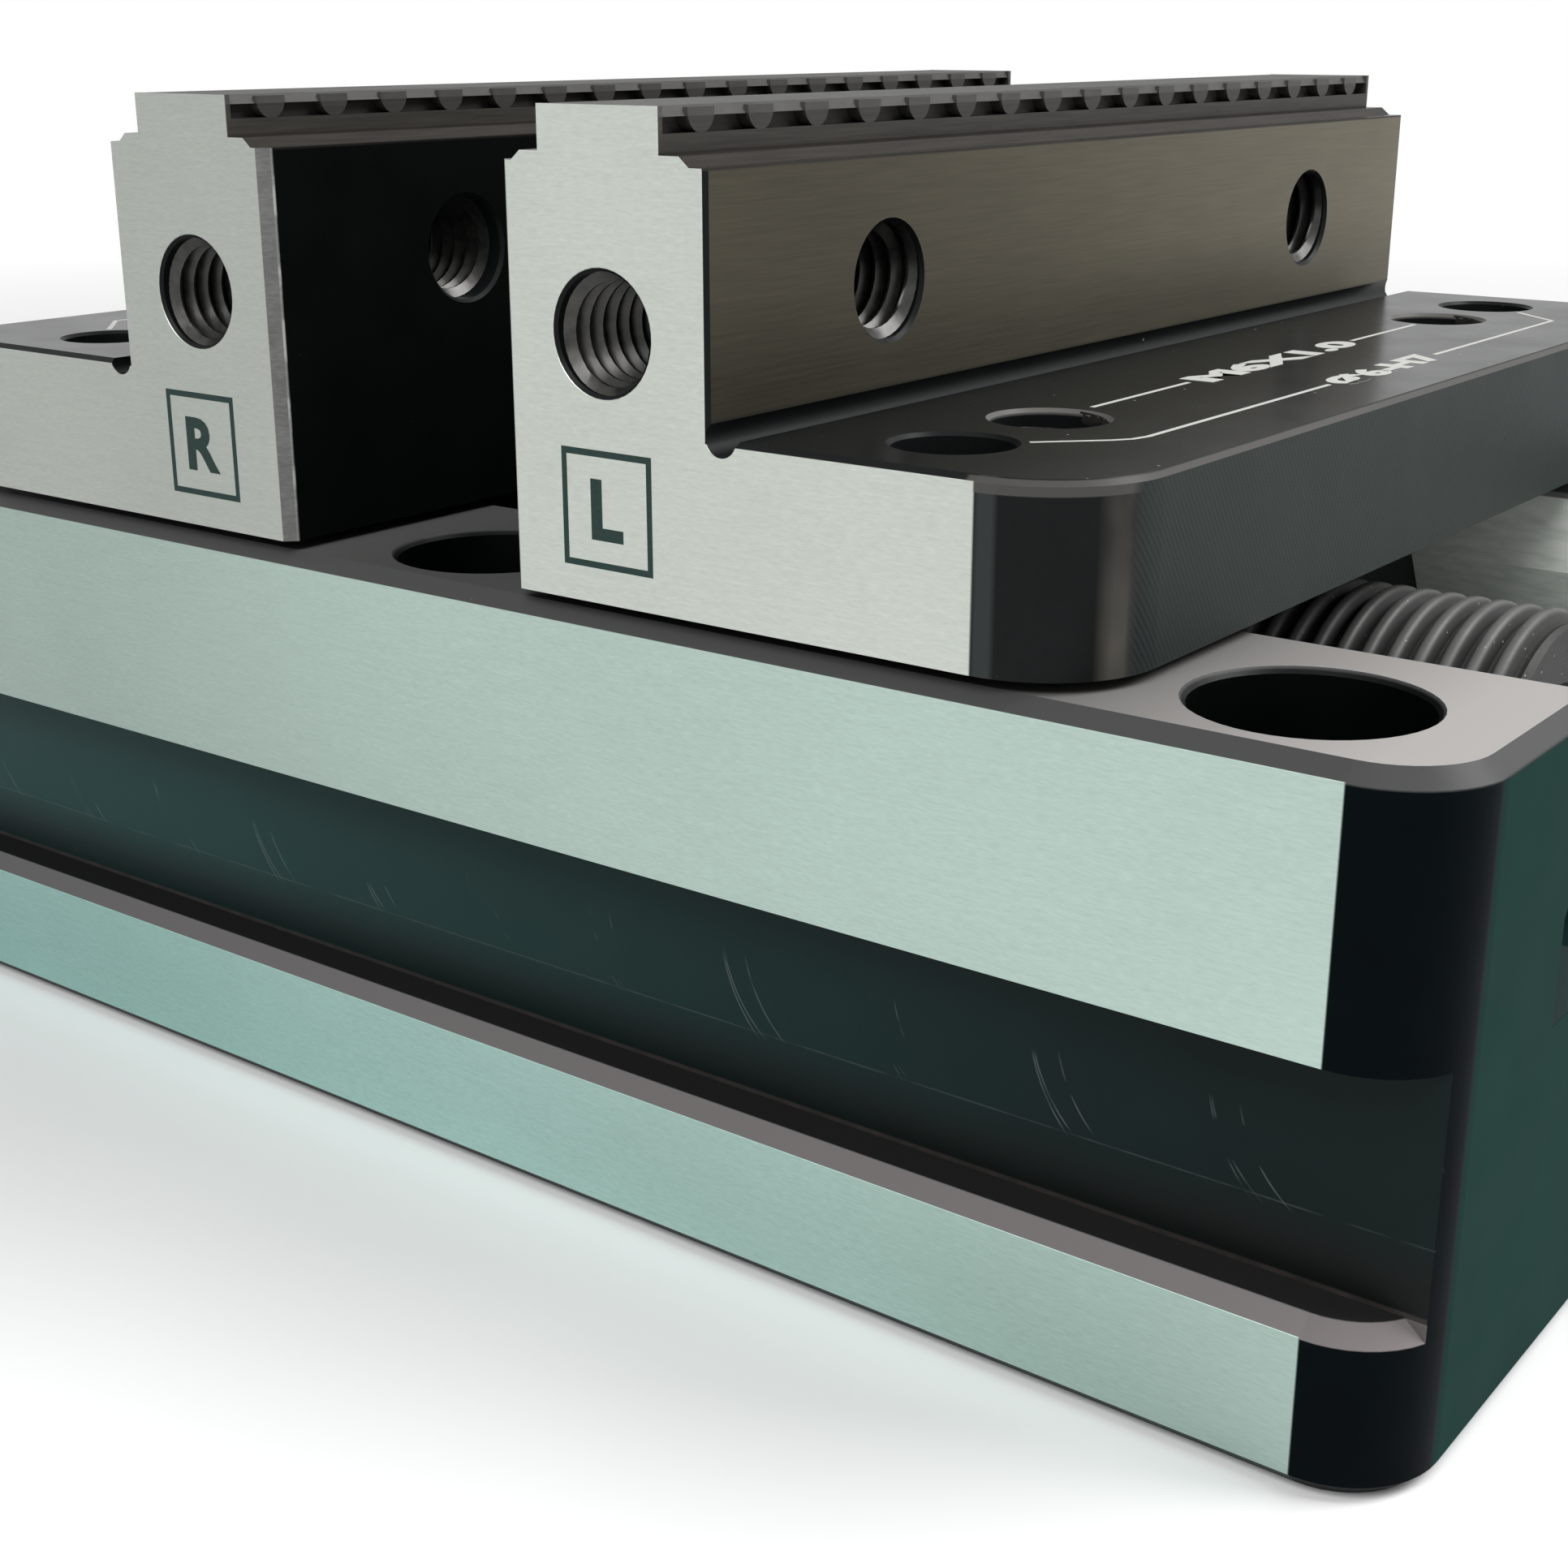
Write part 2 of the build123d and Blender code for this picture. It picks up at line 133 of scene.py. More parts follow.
class Wire:
    """A node socket that can be used in Python arithmetic."""

    def __init__(self, paint, socket):
        self.paint = paint
        self.socket = socket

    def maths(self, operation, *terms):
        return self.paint.node("ShaderNodeMath", {"operation": operation}, dict(enumerate(terms)))

    def __add__(self, other):
        return self.maths("ADD", self, other)

    def __radd__(self, other):
        return self.maths("ADD", other, self)

    def __sub__(self, other):
        return self.maths("SUBTRACT", self, other)

    def __rsub__(self, other):
        return self.maths("SUBTRACT", other, self)

    def __mul__(self, other):
        return self.maths("MULTIPLY", self, other)

    def __abs__(self):
        return self.maths("ABSOLUTE", self)

    def sine(self):
        return self.maths("SINE", self)

    def root(self):
        return self.maths("SQRT", self)

    def above(self, level, blur):
        """0 below the level and 1 above it, with a soft edge as wide as blur."""
        softened = self.maths("MULTIPLY_ADD", self, 1 / blur, 0.5 - level / blur)
        softened.socket.node.use_clamp = True
        return softened

    def below(self, level, blur):
        softened = self.maths("MULTIPLY_ADD", self, -1 / blur, 0.5 + level / blur)
        softened.socket.node.use_clamp = True
        return softened

    def between(self, low, high, blur):
        return self.above(low, blur) * self.below(high, blur)


class Paint:
    """A material whose nodes are written as expressions. Lengths are in millimetres."""

    def __init__(self, name):
        self.material = bpy.data.materials.new(name)
        self.material.use_nodes = True
        self.tree = self.material.node_tree
        self.tree.nodes.clear()
        place = self.node("ShaderNodeTexCoord", {}, {}, "Object")
        scaled = self.node("ShaderNodeVectorMath", {"operation": "SCALE"}, {0: place, "Scale": 1 / MM})
        self.place = scaled
        split = self.node("ShaderNodeSeparateXYZ", {}, {0: scaled}, "X").socket.node
        self.x = Wire(self, split.outputs["X"])
        self.y = Wire(self, split.outputs["Y"])
        self.z = Wire(self, split.outputs["Z"])

    def node(self, kind, settings, values, output=0):
        """Adds a node: its settings are set first, then its sockets get values or links."""
        made = self.tree.nodes.new(kind)
        for key, value in settings.items():
            setattr(made, key, value)
        for key, value in values.items():
            if isinstance(value, Wire):
                self.tree.links.new(value.socket, made.inputs[key])
            else:
                made.inputs[key].default_value = value
        return Wire(self, made.outputs[output])

    def faces(self, axis):
        """1 on faces that look along the axis, either way."""
        normal = self.node("ShaderNodeTexCoord", {}, {}, "Normal")
        part = self.node("ShaderNodeSeparateXYZ", {}, {0: normal}, axis)
        return abs(part).above(0.9, 0.05)

    def mapped(self, scale, stretch, shift):
        sizes = [scale * part for part in stretch]
        return self.node("ShaderNodeMapping", {}, {0: self.place, "Location": shift, "Scale": sizes})

    def noise(self, scale, stretch=(1, 1, 1), detail=2.0, shift=(0, 0, 0)):
        """Noise with so many cells to a millimetre, stretched along the axes."""
        where = self.mapped(scale, stretch, shift)
        return self.node("ShaderNodeTexNoise", {}, {0: where, "Scale": 1.0, "Detail": detail}, 0)

    def cells(self, scale, stretch=(1, 1, 1), shift=(0, 0, 0)):
        """Distance to the nearest of scattered points."""
        where = self.mapped(scale, stretch, shift)
        return self.node("ShaderNodeTexVoronoi", {}, {0: where, "Scale": 1.0}, "Distance")

    def seen(self):
        """1 for what the camera sees, by itself or in a mirror or through glass."""
        rays = self.node("ShaderNodeLightPath", {}, {}, "Is Camera Ray")
        outputs = rays.socket.node.outputs
        mirrored = Wire(self, outputs["Is Glossy Ray"]) + Wire(self, outputs["Is Transmission Ray"])
        return rays.maths("MAXIMUM", rays, mirrored)

    def mix(self, mask, first, second):
        """First where the mask is 0, second where it is 1. Colours are three numbers or wires."""
        kept = [(*part, 1.0) if isinstance(part, (tuple, list)) else part for part in (first, second)]
        return self.node("ShaderNodeMix", {"data_type": "RGBA"}, {0: mask, 6: kept[0], 7: kept[1]}, 2)

    def shade(self, colour, strength):
        """A colour made lighter or darker by a wire."""
        return self.node("ShaderNodeVectorMath", {"operation": "SCALE"}, {0: colour, "Scale": strength})

    def finish(self, colour, roughness, metallic, height=None, bump=0.3, distance=0.02, **fixed):
        fixed.setdefault("Specular_IOR_Level", 0.1)
        values = {"Base Color": colour, "Roughness": roughness, "Metallic": metallic}
        for key, value in fixed.items():
            values[key.replace("_", " ")] = value
        if height is not None:
            values["Normal"] = self.node(
                "ShaderNodeBump",
                {},
                {"Height": height, "Strength": bump, "Distance": distance * MM},
            )
        surface = self.node("ShaderNodeBsdfPrincipled", {}, values)
        end = self.tree.nodes.new("ShaderNodeOutputMaterial")
        self.tree.links.new(surface.socket, end.inputs["Surface"])
        return self.material


def colours():
    return bpy.context.scene.vise_colours


def toned(colour, strength):
    """A colour of the panel, made lighter or darker."""
    return tuple(strength * part for part in colour)


def coat(piece, material):
    """Gives a modelled piece its one material."""
    piece.data.materials.clear()
    piece.data.materials.append(material)


def dress(node, material):
    """Gives a CAD node its finish."""
    piece = frame["nodes"][node]
    if not piece.material_slots:
        piece.data.materials.append(material)
    for place in piece.material_slots:
        place.material = material


def deselect():
    active = bpy.context.view_layer.objects.active
    if active and active.mode != "OBJECT":
        bpy.ops.object.mode_set(mode="OBJECT")
    bpy.ops.object.select_all(action="DESELECT")


def only(piece):
    deselect()
    piece.select_set(True)
    bpy.context.view_layer.objects.active = piece


def open_mesh(piece):
    """Opens the piece in edit mode with all of its mesh selected."""
    only(piece)
    bpy.ops.object.mode_set(mode="EDIT")
    bpy.ops.mesh.select_all(action="SELECT")


def settle(piece):
    """Puts the piece's place, turn and scale into its mesh."""
    only(piece)
    bpy.ops.object.transform_apply(location=True, rotation=True, scale=True)


def joined(pieces, name):
    deselect()
    for piece in pieces:
        piece.select_set(True)
    bpy.context.view_layer.objects.active = pieces[0]
    if len(pieces) > 1:
        bpy.ops.object.join()
    pieces[0].name = name
    pieces[0].data.name = name
    return pieces[0]


def apply_modifier(piece, kind, **settings):
    only(piece)
    bpy.ops.object.modifier_add(type=kind)
    modifier = piece.modifiers[-1]
    for key, value in settings.items():
        setattr(modifier, key, value)
    bpy.ops.object.modifier_apply(modifier=modifier.name)


def wind(piece, axis, steps, **settings):
    """Turns the piece's line round an axis."""
    apply_modifier(piece, "SCREW", axis=axis, angle=2 * math.pi, steps=steps, render_steps=steps, **settings)


def drawn_line(points, name, closed=False):
    """A line drawn point by point, from one vertex that is extruded along."""
    deselect()
    bpy.ops.mesh.primitive_plane_add(size=MM)
    piece = bpy.context.object
    piece.name = name
    bpy.ops.object.mode_set(mode="EDIT")
    bpy.ops.mesh.merge(type="CENTER")
    bpy.ops.transform.translate(value=points[0])
    for before, after in zip(points, points[1:]):
        bpy.ops.mesh.extrude_region_move(TRANSFORM_OT_translate={"value": Vector(after) - Vector(before)})
    if closed:
        bpy.ops.mesh.select_all(action="SELECT")
        bpy.ops.mesh.edge_face_add()
        bpy.ops.mesh.delete(type="ONLY_FACE")
    bpy.ops.object.mode_set(mode="OBJECT")
    return piece


def tidy_mesh(piece, angle=35):
    open_mesh(piece)
    bpy.ops.mesh.remove_doubles(threshold=WELD)
    bpy.ops.mesh.normals_make_consistent(inside=False)
    bpy.ops.object.mode_set(mode="OBJECT")
    bpy.ops.object.shade_smooth_by_angle(angle=math.radians(angle))


def cut(piece, where, towards, clear):
    """Cuts the piece with a plane. When it clears, what lies on the far side goes and the cut is closed."""
    open_mesh(piece)
    bpy.ops.mesh.bisect(
        plane_co=where,
        plane_no=towards,
        use_fill=clear,
        clear_outer=clear,
        threshold=0.0001 * MM,
    )
    bpy.ops.object.mode_set(mode="OBJECT")


class VISE_OT_lead_screw(bpy.types.Operator):
    """Models the lead screw with its two threads and its key sockets"""

    bl_idname = "vise.lead_screw"
    bl_label = "Lead screw"

    face_margin = 0.1 * MM
    hair = 0.001 * MM
    merged = {"use_merge_vertices": True, "merge_threshold": hair}

    def thread_profile(self, radius, pitch, depth):
        """One pitch of the thread: a narrow root, sloping flanks and a rounded crest."""
        shape = (
            (0.00, 1.00),
            (0.07, 0.98),
            (0.26, 0.26),
            (0.33, 0.07),
            (0.41, 0.0),
            (0.59, 0.0),
            (0.67, 0.07),
            (0.74, 0.26),
            (0.93, 0.98),
            (1.00, 1.00),
        )
        return [(along * pitch, 0, radius - share * depth) for along, share in shape]

    def threaded_half(self, radius, start, end, axis_height):
        """The threaded length on the +X side, which has the left-hand thread."""
        sizes = bpy.context.scene.vise_threads
        pitch = sizes.screw_pitch
        turns = math.ceil((end - start) / pitch) + 2
        piece = drawn_line(self.thread_profile(radius, pitch, sizes.screw_depth), "lead_screw_thread")
        wind(piece, "X", sizes.turn_steps, screw_offset=-pitch, iterations=turns, **self.merged)
        past_end = pitch / 2 + 0.13 * MM
        piece.location = (end + past_end, 0, axis_height)
        settle(piece)
        cut(piece, (end, 0, 0), (1, 0, 0), False)
        self.turn_end_cone(piece, radius, end, axis_height)
        cut(piece, (start, 0, 0), (-1, 0, 0), True)
        return piece

    def turn_end_cone(self, piece, radius, end, axis_height):
        """Brings what stands proud of the end's cone down to it, and turns the rest in to the end face."""
        chamfer = bpy.context.scene.vise_threads.screw_chamfer
        for vertex in piece.data.vertices:
            past = vertex.co.x - (end - chamfer)
            if past > 0:
                spoke = Vector((0, vertex.co.y, vertex.co.z - axis_height))
                beyond = vertex.co.x > end + self.hair
                allowed = radius - chamfer - self.face_margin if beyond else radius - past
                if beyond or spoke.length > allowed:
                    spoke *= allowed / spoke.length
                    vertex.co = Vector((min(vertex.co.x, end), spoke.y, spoke.z + axis_height))

    def end_face(self, radius, end, axis_height):
        """The end face and the walls of its key socket, a skin that closes the threaded sleeve."""
        sizes = bpy.context.scene.vise_threads
        rim = radius - sizes.screw_chamfer - self.face_margin
        back = end - sizes.hexagon_depth - 2 * MM
        outline = [(back, 0, 0), (back, 0, rim), (end, 0, rim), (end, 0, 0)]
        skin = self.turned(outline, sizes.turn_steps, axis_height)
        tidy_mesh(skin)
        self.key_socket(skin, end, axis_height)
        only(skin)
        bpy.ops.object.mode_set(mode="EDIT")
        bpy.ops.mesh.select_mode(type="FACE")
        bpy.ops.mesh.select_all(action="DESELECT")
        bpy.ops.object.mode_set(mode="OBJECT")
        for face in skin.data.polygons:
            spoke = Vector((0, face.center.y, face.center.z - axis_height))
            on_back = face.center.x < back + self.hair
            on_rim = spoke.length > rim * 0.9 and abs(face.normal.x) < 0.1
            face.select = on_back or on_rim
        bpy.ops.object.mode_set(mode="EDIT")
        bpy.ops.mesh.delete(type="FACE")
        bpy.ops.mesh.select_mode(type="VERT")
        bpy.ops.object.mode_set(mode="OBJECT")
        return skin

    def turned(self, points, steps, axis_height):
        """A body turned round the screw's axis from its outline."""
        piece = drawn_line(points, "turned")
        wind(piece, "X", steps, **self.merged)
        piece.location = (0, 0, axis_height)
        settle(piece)
        return piece

    def key_socket(self, piece, end, axis_height):
        """Sinks the hexagon and breaks the edge of its mouth."""
        sizes = bpy.context.scene.vise_threads
        corner = sizes.hexagon / math.sqrt(3)
        mouth = corner + 0.35 * MM
        deselect()
        bpy.ops.mesh.primitive_cylinder_add(
            vertices=6,
            radius=corner,
            depth=2 * sizes.hexagon_depth,
            location=(end, 0, axis_height),
            rotation=(0, math.pi / 2, 0),
        )
        hexagon = bpy.context.object
        settle(hexagon)
        deselect()
        bpy.ops.mesh.primitive_cone_add(
            vertices=48,
            radius1=mouth,
            radius2=0,
            depth=mouth,
            location=(end - mouth / 2, 0, axis_height),
            rotation=(0, -math.pi / 2, 0),
        )
        cone = bpy.context.object
        settle(cone)
        for tool in (hexagon, cone):
            apply_modifier(piece, "BOOLEAN", operation="DIFFERENCE", solver="EXACT", object=tool)
            bpy.data.objects.remove(tool)

    def execute(self, context):
        sizes = context.scene.vise_threads
        low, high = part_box("lead_screw")
        radius = (high.z - low.z) / 2
        axis_height = (high.z + low.z) / 2
        start = sizes.journal_length / 2
        right = self.threaded_half(radius, start, high.x, axis_height)
        right = joined([right, self.end_face(radius, high.x, axis_height)], "lead_screw_half")
        only(right)
        bpy.ops.object.duplicate()
        left = context.object
        left.scale = (-1, 1, 1)
        settle(left)
        reach = start + 0.4 * MM
        neck = sizes.journal_radius
        outline = [(-reach, 0, 0), (-reach, 0, neck), (reach, 0, neck), (reach, 0, 0)]
        journal = self.turned(outline, 64, axis_height)
        screw = joined([right, left, journal], "lead_screw_threaded")
        tidy_mesh(screw, 40)
        coat(screw, self.material(axis_height))
        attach(screw, "spindle")
        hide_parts("lead_screw")
        return {"FINISHED"}

    def material(self, axis_height):
        """Blackened steel, paler along the crests, with specks of dust and lathe marks on the ends."""
        paint = Paint("lead_screw_steel")
        crest_radius = 8.82
        up = paint.z - axis_height / MM
        spoke = (paint.y * paint.y + up * up).root()
        crest = spoke.above(crest_radius, 0.3)
        blotch = paint.noise(0.35, detail=4.0)
        grit = paint.noise(5.0, detail=2.0)
        specks = paint.cells(1.6).below(0.10, 0.03) * paint.noise(0.6, shift=(3, 1, 7)).above(0.55, 0.06)
        end_rings = (spoke * 22.0).sine() * paint.faces("X") * 0.5
        steel = paint.mix(crest, toned(colours().screw, 0.35), colours().screw[:])
        colour = paint.mix(specks * 0.75, paint.shade(steel, 0.75 + blotch * 0.6), (0.45, 0.45, 0.43))
        roughness = 0.42 + grit * 0.16 + crest * 0.04
        relief = grit * 0.5 + end_rings + specks * 0.6
        return paint.finish(colour, roughness, 0.25 + crest * 0.10, relief, bump=0.25, distance=0.03)


class VISE_OT_tapped_threads(bpy.types.Operator):
    """Winds the thread ridges in the carriages' tapped holes and the base's stud holes"""

    bl_idname = "vise.tapped_threads"
    bl_label = "Tapped threads"

    foot = 0.03 * MM
    mouth_width = 0.3 * MM
    run_out = 0.33

    def coil(self, mouth, inward, radius, length, pitch, steps):
        """The ridge of an inner thread, from the mouth inwards. Its foot is let into the wall."""
        wall = radius + self.foot
        crest = radius - 0.52 * pitch
        points = [
            (wall, 0, 0.06 * pitch),
            (crest, 0, 0.42 * pitch),
            (crest, 0, 0.56 * pitch),
            (wall, 0, 0.92 * pitch),
        ]
        piece = drawn_line(points, "coil", closed=True)
        turns = int(length / pitch) - 1
        wind(piece, "Z", steps, screw_offset=pitch, iterations=turns)
        open_mesh(piece)
        bpy.ops.mesh.remove_doubles(threshold=WELD)
        bpy.ops.mesh.fill_holes(sides=4)
        bpy.ops.object.mode_set(mode="OBJECT")
        self.taper(piece, wall, pitch, turns)
        self.countersink(piece, wall, radius + self.mouth_width, length)
        piece.rotation_euler = UP.rotation_difference(inward).to_euler()
        piece.location = mouth
        settle(piece)
        return piece

    def taper(self, piece, wall, pitch, turns):
        """The ridge rises from the wall over its first third of a turn, and sinks back over its last."""
        for vertex in piece.data.vertices:
            around = (math.atan2(vertex.co.y, vertex.co.x) / (2 * math.pi)) % 1.0
            turn = math.floor(vertex.co.z / pitch - around) + around
            fade = max(0.02, min(1.0, turn / self.run_out, (turns - turn) / self.run_out))
            spoke = Vector((vertex.co.x, vertex.co.y, 0))
            spoke *= (wall - (wall - spoke.length) * fade) / spoke.length
            vertex.co = Vector((spoke.x, spoke.y, vertex.co.z))

    def countersink(self, piece, wall, mouth_radius, length):
        """The cones at the hole's mouth and end cut the first and last turns down."""
        for vertex in piece.data.vertices:
            spoke = Vector((vertex.co.x, vertex.co.y, 0))
            cone = max(mouth_radius - vertex.co.z, mouth_radius - (length - vertex.co.z))
            allowed = min(cone, wall)
            if spoke.length < allowed:
                spoke *= allowed / spoke.length
                vertex.co = Vector((spoke.x, spoke.y, vertex.co.z))

    def holes(self, mount, depth, node=None):
        """(mouth, inward direction, radius, depth) of each hole of a mount."""
        middle = Vector(mount["pos_m"])
        axis = Vector(mount["axis"])
        dims = mount["dims"]
        if mount["kind"] == "threaded_hole":
            low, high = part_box(node)
            middle.y = high.y if axis.y > 0 else low.y
            return [(middle, -axis, dims["r_mm"] * MM, depth)]
        if abs(axis.x) > 0.5:
            along_x, along_y = 0, dims["spacing_x_mm"]
        else:
            along_x, along_y = dims.get("spacing_x_mm", 0), dims["spacing_y_mm"]
        halves = (along_x * MM / 2, along_y * MM / 2)
        places = {(a * halves[0], b * halves[1], 0) for a in (-1, 1) for b in (-1, 1)}
        places = [Vector(place) for place in sorted(places)]
        return [(middle + place, -axis, dims["hole_r_mm"] * MM, depth) for place in places]

    def execute(self, context):
        sizes = context.scene.vise_threads
        mounts = {mount["name"]: mount for mount in frame["record"]["mounts"]}
        steel = self.material()
        end_depth = 10.6 * MM
        upright = 13.25 * MM
        wing = 9.1 * MM
        stud_depth = 11 * MM
        for mark, body in (("l", "left_marked_carriage"), ("r", "right_marked_carriage")):
            node = f"carriage_{mark}"
            wanted = self.holes(mounts[f"{node}_end_thread_front"], end_depth, node)
            wanted += self.holes(mounts[f"{node}_end_thread_back"], end_depth, node)
            wanted += self.holes(mounts[f"{node}_side_threads"], upright)
            wanted += self.holes(mounts[f"{node}_wing_threads"], wing)
            coils = [self.coil(*hole, sizes.tapped_pitch, 30) for hole in wanted]
            threads = joined(coils, f"tapped_threads_{mark}")
            tidy_mesh(threads, 30)
            coat(threads, steel)
            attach(threads, body)
        wanted = self.holes(mounts["stud_pattern"], stud_depth)
        coils = [self.coil(*hole, sizes.stud_pitch, 28) for hole in wanted]
        threads = joined(coils, "stud_threads")
        tidy_mesh(threads, 30)
        coat(threads, steel)
        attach(threads, "base")
        return {"FINISHED"}

    def material(self):
        """Cut threads: darkened steel, oily and bright along the flanks."""
        paint = Paint("tapped_steel")
        streak = paint.noise(1.3, detail=3.0)
        colour = paint.mix(streak, (0.018, 0.019, 0.019), (0.095, 0.092, 0.088))
        roughness = 0.2 + streak * 0.2
        return paint.finish(colour, roughness, 0.75, streak, bump=0.2, distance=0.03)


class VISE_OT_jaw_marks(bpy.types.Operator):
    """Engraves the boxed letters that tell the two carriages apart"""

    bl_idname = "vise.jaw_marks"
    bl_label = "Jaw marks"

    def box_frame(self, middle, width, height, line, lift):
        deselect()
        bpy.ops.mesh.primitive_plane_add(size=1)
        piece = bpy.context.object
        piece.scale = (width, height, 1)
        settle(piece)
        open_mesh(piece)
        bpy.ops.mesh.inset(thickness=line)
        bpy.ops.mesh.delete(type="FACE")
        bpy.ops.mesh.select_all(action="SELECT")
        bpy.ops.mesh.extrude_region_move(TRANSFORM_OT_translate={"value": (0, 0, lift)})
        bpy.ops.object.mode_set(mode="OBJECT")
        piece.rotation_euler = (math.pi / 2, 0, 0)
        piece.location = middle
        settle(piece)
        return piece

    def execute(self, context):
        sizes = context.scene.vise_marks
        engraved = self.material()
        lift = 0.012 * MM
        mark_height = 40.0 * MM
        for letter, node, body, at in (
            ("L", "carriage_l", "left_marked_carriage", 15.35 * MM),
            ("R", "carriage_r", "right_marked_carriage", -15.7 * MM),
        ):
            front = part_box(node)[0].y
            middle = Vector((at, front + lift / 2, mark_height))
            box = self.box_frame(middle, sizes.box_width, sizes.box_height, sizes.box_line, lift)
            sign = written(letter, sizes.letter, 0.05, lift, (math.pi / 2, 0, 0), middle)
            mark = joined([box, sign], f"jaw_mark_{letter.lower()}")
            tidy_mesh(mark, 30)
            coat(mark, engraved)
            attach(mark, body)
        return {"FINISHED"}

    def material(self):
        paint = Paint("engraved_mark")
        burn = paint.noise(4.0, detail=3.0)
        colour = paint.mix(burn, colours().engraved[:], (0.03, 0.05, 0.045))
        return paint.finish(colour, 0.5 + burn * 0.2, 0.0, burn, bump=0.3, distance=0.02)


def written(words, height, bold, lift, turn, middle, length=None):
    """Plain letters as a thin mesh, centred on the middle and drawn out to a length."""
    capital_share = 0.7
    deselect()
    bpy.ops.object.text_add()
    piece = bpy.context.object
    piece.data.body = words
    piece.data.size = height / capital_share
    piece.data.align_x = "CENTER"
    piece.data.align_y = "CENTER"
    piece.data.offset = bold * height
    piece.data.extrude = lift / 2
    piece.data.resolution_u = 4
    bpy.ops.object.convert(target="MESH")
    piece = bpy.context.object
    bpy.ops.object.origin_set(type="ORIGIN_GEOMETRY", center="BOUNDS")
    piece.location = (0, 0, lift / 2)
    if length:
        piece.scale.x = length / piece.dimensions.x
    piece.scale.y = height / piece.dimensions.y
    settle(piece)
    piece.rotation_euler = turn
    piece.location = middle
    settle(piece)
    return piece


class VISE_OT_size_marks(bpy.types.Operator):
    """Lasers the hole sizes and their leader lines on the wings"""

    bl_idname = "vise.size_marks"
    bl_label = "Size marks"

    def leader(self, points, width, lift):
        """A thin flat line through the points."""
        line = drawn_line(points, "leader")
        only(line)
        bpy.ops.object.convert(target="CURVE")
        line = bpy.context.object
        line.data.bevel_depth = width / 2
        line.data.bevel_resolution = 1
        line.data.use_fill_caps = True
        bpy.ops.object.convert(target="MESH")
        line = bpy.context.object
        height = points[0][2]
        for vertex in line.data.vertices:
            vertex.co.z = height + (vertex.co.z - height) * lift / width
        return line

    def execute(self, context):
        sizes = context.scene.vise_marks
        printed = self.material()
        lift = 0.016 * MM
        bold = 0.08
        top = 44.3 * MM
        thread_line = 31.7 * MM
        dowel_line = 38.2 * MM
        routes = [
            [(thread_line, -20.8 * MM, top), (thread_line, -10.2 * MM, top)],
            [(thread_line, 11.3 * MM, top), (thread_line, 21.2 * MM, top)],
            [
                (34.5 * MM, -31.5 * MM, top),
                (dowel_line - 0.9 * MM, -28.7 * MM, top),
                (dowel_line - 0.25 * MM, -27.8 * MM, top),
                (dowel_line, -26.7 * MM, top),
                (dowel_line, -6.3 * MM, top),
            ],
            [(dowel_line, 8.5 * MM, top), (dowel_line, 28.6 * MM, top), (34.8 * MM, 31.7 * MM, top)],
        ]
        words = (
            ("M6X1.0", (thread_line, 0.6 * MM, top), 20 * MM),
            ("Ø6-H7", (dowel_line, 1.1 * MM, top), 13.6 * MM),
        )
        quarter = (0, 0, math.pi / 2)
        for body, mark in (("left_marked_carriage", "l"), ("right_marked_carriage", "r")):
            parts = [self.leader(route, sizes.leader, lift) for route in routes]
            for size, middle, length in words:
                parts.append(written(size, sizes.size_letter, bold, lift, quarter, middle, length))
            marks = joined(parts, f"size_marks_{mark}")
            if mark == "r":
                marks.rotation_euler = (0, 0, math.pi)
                settle(marks)
            tidy_mesh(marks, 30)
            coat(marks, printed)
            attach(marks, body)
        return {"FINISHED"}

    def material(self):
        paint = Paint("printed_mark")
        grain = paint.noise(5.0, detail=2.0)
        colour = paint.mix(grain, colours().printed[:], (0.42, 0.42, 0.40))
        return paint.finish(colour, 0.55 + grain * 0.1, 0.1, grain, bump=0.2, distance=0.02)


